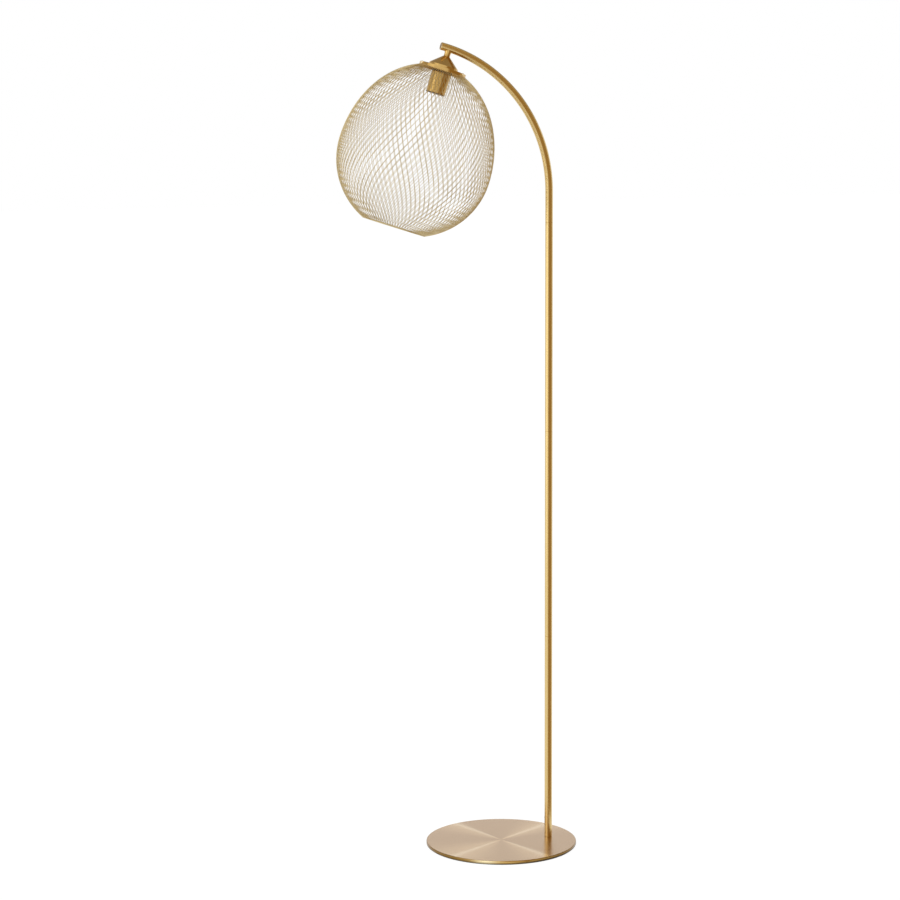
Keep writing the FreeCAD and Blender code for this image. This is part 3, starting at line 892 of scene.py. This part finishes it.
# %% Three lengths of tube
tube_radius = 7.5
tube_wall = 1.2
tube_segments = 64
end_chamfer = 0.35
section_length = 412.0
drawn = finishes["drawn_brass"]


def tube_outline(low, high, rings=2):
    """A tube's wall with both outer ends chamfered. Extra rings let it be bent afterwards."""
    inner = tube_radius - tube_wall
    heights = [low + (high - low) * n / rings for n in range(rings + 1)]
    outside = [(tube_radius - end_chamfer, low), (tube_radius, low + end_chamfer)]
    outside += [(tube_radius, low + 3 * end_chamfer)]
    outside += [(tube_radius, h) for h in heights[1:-1]]
    outside += [(tube_radius, high - 3 * end_chamfer)]
    outside += [(tube_radius, high - end_chamfer), (tube_radius - end_chamfer, high)]
    inside = [(inner, h) for h in reversed(heights)]
    return [Vector(point) for point in outside + inside]


for n, name in enumerate(("lower_tube", "middle_tube", "upper_tube")):
    low = base_top + n * section_length
    outline = tube_outline(low, low + section_length)
    tube = turned("pole_" + name, outline, to_pole, drawn, tube_segments)
    belongs(tube, "lamp_stand", "satin_brass", name)

# %% [markdown]
# ## The arm
#
# The arm is the same tube, bent round a former of 290 mm radius. It could be swept along a curve,
# but the workshop's own way is better here: make a straight tube, wall and chamfers and all, and
# bend it. A geometry tree does the bending with a few lines of maths, and its map of streaks bends
# with it.


# %% A geometry tree with named inputs
def geometry_tree(name, inputs):
    """A tree that takes and gives geometry. Gives the tree, its board, and its inputs by name."""
    tree = bpy.data.node_groups.new(name, "GeometryNodeTree")
    tree.interface.new_socket("Geometry", in_out="INPUT", socket_type="NodeSocketGeometry")
    for label, kind in inputs.items():
        tree.interface.new_socket(label, in_out="INPUT", socket_type=kind)
    tree.interface.new_socket("Geometry", in_out="OUTPUT", socket_type="NodeSocketGeometry")
    board = Board(tree)
    given = board.node("NodeGroupInput")
    return tree, board, given


def run_tree(piece, tree, values):
    """Runs the tree on a piece with these values, and keeps the plain mesh."""
    modifier = piece.modifiers.new(tree.name, "NODES")
    modifier.node_group = tree
    for item in tree.interface.items_tree:
        if item.in_out == "INPUT" and item.name in values:
            modifier[item.identifier] = values[item.name]
    settle(piece)


def close_tree(board, geometry, paint):
    """Gives the geometry, painted and made one plain mesh, as the tree's result."""
    real = board.node("GeometryNodeRealizeInstances", {}, {"Geometry": geometry})
    inputs = {"Geometry": real["Geometry"], "Material": paint}
    painted = board.node("GeometryNodeSetMaterial", {}, inputs)
    board.node("NodeGroupOutput", {}, {"Geometry": painted["Geometry"]})


REAL = "NodeSocketFloat"
WHOLE = "NodeSocketInt"
PAINT = "NodeSocketMaterial"
print("kinds of input:", REAL, WHOLE, PAINT)

# %% The bending tree
bend_tree, board, given = geometry_tree(
    "tube_bender", {"Bend Start": REAL, "Pole Offset": REAL, "Bend Radius": REAL, "Finish": PAINT}
)
x, y, z = board.split(board.node("GeometryNodeInputPosition")["Position"])
past = z - given["Bend Start"]
swing = past.maths("MAXIMUM", 0.0) / given["Bend Radius"]
reach = given["Bend Radius"] + x - given["Pole Offset"]
bent_x = given["Pole Offset"] - given["Bend Radius"] + reach * swing.maths("COSINE")
bent_z = given["Bend Start"] + past.maths("MINIMUM", 0.0) + reach * swing.maths("SINE")
place = board.combine(bent_x, y, bent_z)
bent = board.node("GeometryNodeSetPosition", {}, {"Geometry": given["Geometry"], "Position": place})
close_tree(board, bent["Geometry"], given["Finish"])
print("bending tree nodes:", len(bend_tree.nodes))

# %% The arm, made straight and bent
arm_low = base_top + 3 * section_length
arm_tip_angle = math.radians(75.2)
arm_length = arm_base - arm_low + arm_radius * arm_tip_angle
arm_rings = 72
arm_outline = tube_outline(arm_low, arm_low + arm_length, arm_rings)
arm = turned("arm", arm_outline, to_pole, drawn, tube_segments)
run_tree(
    arm,
    bend_tree,
    {
        "Bend Start": arm_base * MM,
        "Pole Offset": pole_offset * MM,
        "Bend Radius": arm_radius * MM,
        "Finish": drawn,
    },
)
belongs(arm, "lamp_stand", "satin_brass", "arm_tube")

# %% [markdown]
# ## The bell and what it covers
#
# Under the arm a short neck carries the bell, and under the bell a disc holds the shade and the
# lampholder. The bell is spun from sheet over a wooden form, which is why its flank is one even
# curve and its wall one thickness. An outline with its inner curve a wall's thickness inside the
# outer one gives the same shape, with a true edge to look at from below.

# %% Sizes of the bell, the disc and the band
play = 0.1
bore = 5.05
neck_length = 14.6
collar_radius = 6.0
collar_height = 1.0
collar_base = 3.0
bell_top = neck_length + play
bell_wall = 1.0
bell_radius = 28.8
bell_waist, inner_waist = (16.5, 24.5), (15.5, 25.5)
flank_steps, inner_steps = 24, 16
lip_height = 4.4
plate_top = 39.2
plate_thickness = 4.0
band_radius = 46.4
band_wall = 1.3
band_height = 7.2
spun = finishes["spun_brass"]


def down(corners):
    """Corners given as depths below the arm, made heights."""
    return [(radius, -depth, rounding) for radius, depth, rounding in corners]


print("the disc lies", plate_top, "mm below the arm's middle line")

# %% Bell
lip_top = plate_top - lip_height
collar_low, collar_end = bell_top + collar_height, bell_top + collar_base
inner_radius, inner_lip = bell_radius - bell_wall, lip_top + bell_wall
flank = arc_through((collar_radius, collar_low), bell_waist, (bell_radius, lip_top), flank_steps)
inner_flank = arc_through(
    (inner_radius, inner_lip), inner_waist, (collar_radius, collar_end), inner_steps
)
bell_corners = [
    (bore, bell_top, 0),
    (collar_radius, bell_top, 0.2),
    (collar_radius, collar_low, 0),
    *flank,
    (bell_radius, lip_top, 0),
    (bell_radius, plate_top, 0.25),
    (inner_radius, plate_top, 0.2),
    (inner_radius, inner_lip, 0),
    *inner_flank,
    (collar_radius, collar_end, 0),
    (bore, collar_end, 0),
]
bell = turned("bell", rounded(down(bell_corners)), to_head, spun, 128)
belongs(bell, "head", "polished_brass", "canopy")

# %% Disc under the bell, and the band round it
plate_edge = band_radius - band_wall - 0.05
plate_low = plate_top + plate_thickness
plate_corners = [
    (bore, plate_top, 0),
    (plate_edge, plate_top, 0.3),
    (plate_edge, plate_low, 0.3),
    (bore, plate_low, 0),
]
plate = turned("shade_disc", rounded(down(plate_corners)), to_head, spun, 160)
belongs(plate, "head", "polished_brass", "gallery_plate")

band_corners = [
    (band_radius - band_wall, plate_top, 0.3),
    (band_radius, plate_top, 0.5),
    (band_radius, plate_top + band_height, 0.5),
    (band_radius - band_wall, plate_top + band_height, 0.3),
]
band = turned("shade_band", rounded(down(band_corners)), to_head, spun, 160)
belongs(band, "head", "polished_brass", "cage_top_band")

# %% Neck
neck_radius = 7.0
neck_start = 3.0
neck_corners = [
    (bore, neck_length, 0),
    (collar_radius, neck_length, 0.3),
    (collar_radius, 11.0, 0),
    (6.25, 9.2, 0),
    (neck_radius, 7.5, 0),
    (neck_radius, neck_start, 0),
    (bore, neck_start, 0),
]
neck = turned("neck", rounded(down(neck_corners)), to_head, spun, 64)
belongs(neck, "lamp_stand", "satin_brass", "neck_socket")

# %% [markdown]
# ## The lampholder
#
# The bulb's holder is a spun cup with a rolled bead round its mouth, set against the disc through a
# black insulating ring. Inside it sits a ceramic body with a sheet sleeve that has the bulb's
# thread rolled into it. The thread is a real helix here, 3.6 mm a turn: a geometry tree bends a
# flat grid into a tube whose radius rises and falls with the angle plus the height, which is all
# that a thread is.

# %% Sizes of the insulating ring and the cup
ring_top = plate_low + play
ring_height = 4.4
ring_radius = 20.0
ring_rounding = 0.4
corner_steps = 5
cup_top = ring_top + ring_height + play
cup_length = 42.4
cup_mouth = cup_top + cup_length
cup_wall = 0.8
high_radius, mouth_radius = 19.1, 18.6
bead = 0.6
bead_top = cup_mouth - 2 * bead
low_radius = mouth_radius + (high_radius - mouth_radius) * (2 * bead) / cup_length
print("the cup's mouth lies", round(cup_mouth, 1), "mm below the arm")

# %% Cup with its rolled bead
bead_arc = arc_through(
    (low_radius, bead_top), (low_radius + bead, bead_top + bead), (low_radius, cup_mouth), 8
)
cup_corners = [
    (bore, cup_top, 0),
    (high_radius, cup_top, 1.5),
    (low_radius, bead_top, 0),
    *bead_arc,
    (low_radius, cup_mouth, 0),
    (low_radius - cup_wall, cup_mouth, 0.2),
    (high_radius - cup_wall, cup_top + cup_wall, 1.2),
    (bore, cup_top + cup_wall, 0),
]
cup_outline = rounded(down(cup_corners), corner_steps)
upright = Matrix()
cup = turned("lampholder_cup", cup_outline, upright, spun, 128)
# the bead round the mouth is painted dark brass: painted shade under the cup's mouth
cup.data.materials.append(finishes["bead_painted_shade"])
bead_margin = 0.4
for face in cup.data.polygons:
    if face.center.z < -(bead_top - bead_margin):
        face.material_index = 1
cup.data.transform(to_head)
belongs(cup, "head", "polished_brass", "lampholder_shell")

# %% Insulating ring
ring_corners = [
    (bore, ring_top, 0),
    (ring_radius, ring_top, ring_rounding),
    (ring_radius, ring_top + ring_height, ring_rounding),
    (bore, ring_top + ring_height, 0),
]
ring = turned("spacer_ring", rounded(down(ring_corners)), to_head, finishes["black_plastic"], 96)
belongs(ring, "head", "black_plastic", "insulating_ring")

# %% The thread tree
thread_tree, board, given = geometry_tree(
    "rolled_thread",
    {
        "Crest Radius": REAL,
        "Thread Depth": REAL,
        "Lead": REAL,
        "Top": REAL,
        "Length": REAL,
        "Steps Round": WHOLE,
        "Steps Down": WHOLE,
        "Finish": PAINT,
    },
)
steps = {"Vertices X": given["Steps Round"], "Vertices Y": given["Steps Down"]}
grid = board.node("GeometryNodeMeshGrid", {}, {"Size X": 1.0, "Size Y": 1.0, **steps})
x, y, z = board.split(board.node("GeometryNodeInputPosition")["Position"])
angle = (x + 0.5) * (2 * math.pi)
run = (y + 0.5) * given["Length"]
wave = (run * (2 * math.pi) / given["Lead"] + angle).maths("COSINE")
radius = given["Crest Radius"] + (wave - 1.0) * given["Thread Depth"] * 0.5
cos_a, sin_a = angle.maths("COSINE"), angle.maths("SINE")
place = board.combine(radius * cos_a, radius * sin_a, -given["Top"] - run)
rolled = board.node("GeometryNodeSetPosition", {}, {"Geometry": grid["Mesh"], "Position": place})
seam = {"Geometry": rolled["Geometry"], "Distance": 0.01}
joined = board.node("GeometryNodeMergeByDistance", {}, seam)
close_tree(board, joined["Geometry"], given["Finish"])
print("thread tree nodes:", len(thread_tree.nodes))


# %% The threaded sleeve
def empty_piece(name):
    return add_object(name, bpy.data.meshes.new(name))


deck_depth, deck_thickness = 14.4, 3.0
insert_recess, insert_lip = 1.0, 5.0
sleeve_top = cup_top + deck_depth + deck_thickness + play
sleeve_low = cup_mouth - insert_recess - insert_lip - play
crest_radius, thread_depth, thread_lead = 13.85, 1.1, 3.6
steps_round, steps_down = 65, 73
sheet = 0.35
sleeve = empty_piece("threaded_sleeve")
run_tree(
    sleeve,
    thread_tree,
    {
        "Crest Radius": crest_radius,
        "Thread Depth": thread_depth,
        "Lead": thread_lead,
        "Top": sleeve_top,
        "Length": sleeve_low - sleeve_top,
        "Steps Round": steps_round,
        "Steps Down": steps_down,
        "Finish": finishes["nickel_shell"],
    },
)
for face in sleeve.data.polygons:
    face.use_smooth = True
wall = sleeve.modifiers.new("sheet", "SOLIDIFY")
wall.thickness = sheet
wall.offset = 0.0
settle(sleeve)
sleeve.data.transform(to_head)
belongs(sleeve, "head", "nickel_shell", "screw_shell")

# %% [markdown]
# ## The cage
#
# The shade is 174 fine wires in two layers. Each wire runs from the ring at the mouth to the band
# at the top and turns a little over 60 degrees about the axis on its way, the inner layer one way
# and the outer layer the other. One wire therefore makes the whole cage: a formula gives its place,
# and the rest are copies turned by even steps. Modelling each wire by hand, or wrapping a crossed
# pattern round a shell as an image, would lose the shimmering pattern that front and back wires
# make together, so the wires are real and their count is exact.
#
# The wire's formula: the shade's side is two half ellipses that meet at the widest place. An angle
# from below to above gives radius and height on them, and the height gives how far the wire has
# turned. Each end gets a small bead, where the wire is welded on.

# %% The cage tree
cage_tree, board, given = geometry_tree(
    "crossed_wires",
    {
        "Wire Count": WHOLE,
        "Wire Radius": REAL,
        "Steps Along": WHOLE,
        "Widest Radius": REAL,
        "Widest Height": REAL,
        "Height Above": REAL,
        "Height Below": REAL,
        "Shade Depth": REAL,
        "Layer Offset": REAL,
        "First Angle": REAL,
        "Last Angle": REAL,
        "Turn Per Height": REAL,
        "Phase": REAL,
        "Bead Radius": REAL,
        "Seed": WHOLE,
        "Finish": PAINT,
    },
)
print("inputs of the cage tree:", len(cage_tree.interface.items_tree) - 2)

# %% One wire's path
line = board.node("GeometryNodeMeshLine", {}, {"Count": given["Steps Along"]})
index = board.node("GeometryNodeInputIndex")["Index"]
share = index / (given["Steps Along"] - 1.0)
angle = given["First Angle"] + share * (given["Last Angle"] - given["First Angle"])
above = angle > 0.0
unit = given["Height Below"] + above * (given["Height Above"] - given["Height Below"])
out_part = unit * angle.maths("COSINE")
up_part = given["Widest Radius"] * angle.maths("SINE")
slope = (out_part * out_part + up_part * up_part).maths("SQRT")
offset_out = given["Layer Offset"] * out_part / slope
offset_up = given["Layer Offset"] * up_part / slope
radius = given["Widest Radius"] * angle.maths("COSINE") + offset_out
height = given["Widest Height"] + unit * angle.maths("SINE") + offset_up
swing = height * given["Turn Per Height"]
cos_a, sin_a = swing.maths("COSINE"), swing.maths("SINE")
place = board.combine(radius * cos_a, radius * sin_a, height - given["Shade Depth"])
laid = board.node("GeometryNodeSetPosition", {}, {"Geometry": line["Mesh"], "Position": place})
path = board.node("GeometryNodeMeshToCurve", {}, {"Mesh": laid["Geometry"]})
print("nodes so far:", len(cage_tree.nodes))

# %% From one wire to the whole layer
sides = {"Resolution": 8, "Radius": given["Wire Radius"]}
section = board.node("GeometryNodeCurvePrimitiveCircle", {}, sides)
wire = board.node(
    "GeometryNodeCurveToMesh",
    {},
    {"Curve": path["Curve"], "Profile Curve": section["Curve"], "Fill Caps": True},
)
ends = board.node("GeometryNodeCurveEndpointSelection")["Selection"]
ball = {"Segments": 8, "Rings": 6, "Radius": given["Bead Radius"]}
drop = board.node("GeometryNodeMeshUVSphere", {}, ball)
beads = board.node(
    "GeometryNodeInstanceOnPoints",
    {},
    {"Points": path["Curve"], "Selection": ends, "Instance": drop["Mesh"]},
)
one = board.node("GeometryNodeJoinGeometry")
board.tree.links.new(wire["Mesh"].end, one.made.inputs[0])
board.tree.links.new(beads["Instances"].end, one.made.inputs[0])
smooth = board.node("GeometryNodeSetShadeSmooth", {}, {"Geometry": one["Geometry"]})

spots = board.node("GeometryNodePoints", {}, {"Count": given["Wire Count"]})
index = board.node("GeometryNodeInputIndex")["Index"]
turn = (index + given["Phase"]) * (-2 * math.pi) / given["Wire Count"]
spin = board.node("FunctionNodeEulerToRotation", {}, {"Euler": board.combine(0.0, 0.0, turn)})
copies = board.node(
    "GeometryNodeInstanceOnPoints",
    {},
    {"Points": spots["Points"], "Instance": smooth["Geometry"], "Rotation": spin["Rotation"]},
)
random = board.node(
    "FunctionNodeRandomValue", {"data_type": "FLOAT"}, {"ID": index, "Seed": given["Seed"]}
)
toned = board.node(
    "GeometryNodeStoreNamedAttribute",
    {"data_type": "FLOAT", "domain": "INSTANCE"},
    {"Geometry": copies["Instances"], "Name": "wire_tone", "Value": random[1]},
)
close_tree(board, toned["Geometry"], given["Finish"])
print("cage tree nodes:", len(cage_tree.nodes))

# %% Sizes of the cage
cage_radius = 149.4
cage_mouth_radius = 62.0
cage_widest_height = 133.3
cage_above = 186.6
cage_below = cage_widest_height / math.sqrt(1 - (cage_mouth_radius / cage_radius) ** 2)
cage_depth = 356.6
wire_count = 87
wire_radius = 0.45
wire_steps = 49
layer_offset = 0.6
weld_bead = 0.75
mouth_gap, band_gap = 1.2, 0.1
wire_turn, turn_height = math.radians(60.35), 311.0
turn_per_height = wire_turn / turn_height
halvings = 40


def angle_at(radius, offset, sign):
    """The profile angle at which a layer has this radius, above (1) or below (-1) the widest."""
    low, high = 0.0, math.pi / 2
    unit = cage_above if sign > 0 else cage_below
    for _ in range(halvings):
        middle = (low + high) / 2
        out_part = unit * math.cos(middle)
        slope = math.hypot(out_part, cage_radius * math.sin(middle))
        here = cage_radius * math.cos(middle) + offset * out_part / slope
        low, high = (middle, high) if here > radius else (low, middle)
    return sign * low


print("pitch between wires at the widest:", round(2 * math.pi * cage_radius / wire_count, 2), "mm")


# %% Both layers
def wire_layer(name, offset, hand, phase, seed):
    layer = empty_piece(name)
    run_tree(
        layer,
        cage_tree,
        {
            "Wire Count": wire_count,
            "Wire Radius": wire_radius,
            "Steps Along": wire_steps,
            "Widest Radius": cage_radius,
            "Widest Height": cage_widest_height,
            "Height Above": cage_above,
            "Height Below": cage_below,
            "Shade Depth": cage_depth,
            "Layer Offset": offset,
            "First Angle": angle_at(cage_mouth_radius + mouth_gap, offset, -1),
            "Last Angle": angle_at(band_radius + band_gap, offset, 1),
            "Turn Per Height": hand * turn_per_height,
            "Phase": phase,
            "Bead Radius": weld_bead,
            "Seed": seed,
            "Finish": finishes["plated_wire"],
        },
    )
    layer.data.transform(to_head)
    return layer


inner_phase, outer_phase = 0.667, 0.167
inner_seed, outer_seed = 3, 8
inner_layer = wire_layer("wires_inner", -layer_offset, -1.0, inner_phase, inner_seed)
belongs(inner_layer, "head", "gold_wire", "cage_wires_inner")
outer_layer = wire_layer("wires_outer", layer_offset, 1.0, outer_phase, outer_seed)
belongs(outer_layer, "head", "gold_wire", "cage_wires_outer")

# %% Ring round the mouth
mouth_wire = 1.5
mouth_sides = 16
mouth_outline = []
for k in range(mouth_sides):
    t = 2 * math.pi * k / mouth_sides
    out, up_by = mouth_wire * math.cos(t), mouth_wire * math.sin(t)
    mouth_outline.append(Vector((cage_mouth_radius + out, up_by - cage_depth)))
mouth_ring = turned("mouth_ring", mouth_outline, to_head, finishes["plated_wire"], 192)
belongs(mouth_ring, "head", "gold_wire", "cage_rim_ring")

# %% [markdown]
# ## Pieces kept from the solid model
#
# The screws, plugs, studs, washer, flex and the lampholder's inside already have their right
# shapes. They keep them, and get their finishes by the name of their material in the record.

# %% Finishes of the kept solids
by_slot = {
    "satin_brass": "darker_brass",
    "polished_brass": "bright_brass",
    "gold_wire": "plated_wire",
}
for entry in frame["record"]["subparts"]:
    slot = entry["material_slot"]
    material = finishes[by_slot.get(slot, slot)]
    for holder in frame["nodes"][entry["node"]].material_slots:
        holder.material = material
print("solids with a finish:", len(frame["record"]["subparts"]))

# %% [markdown]
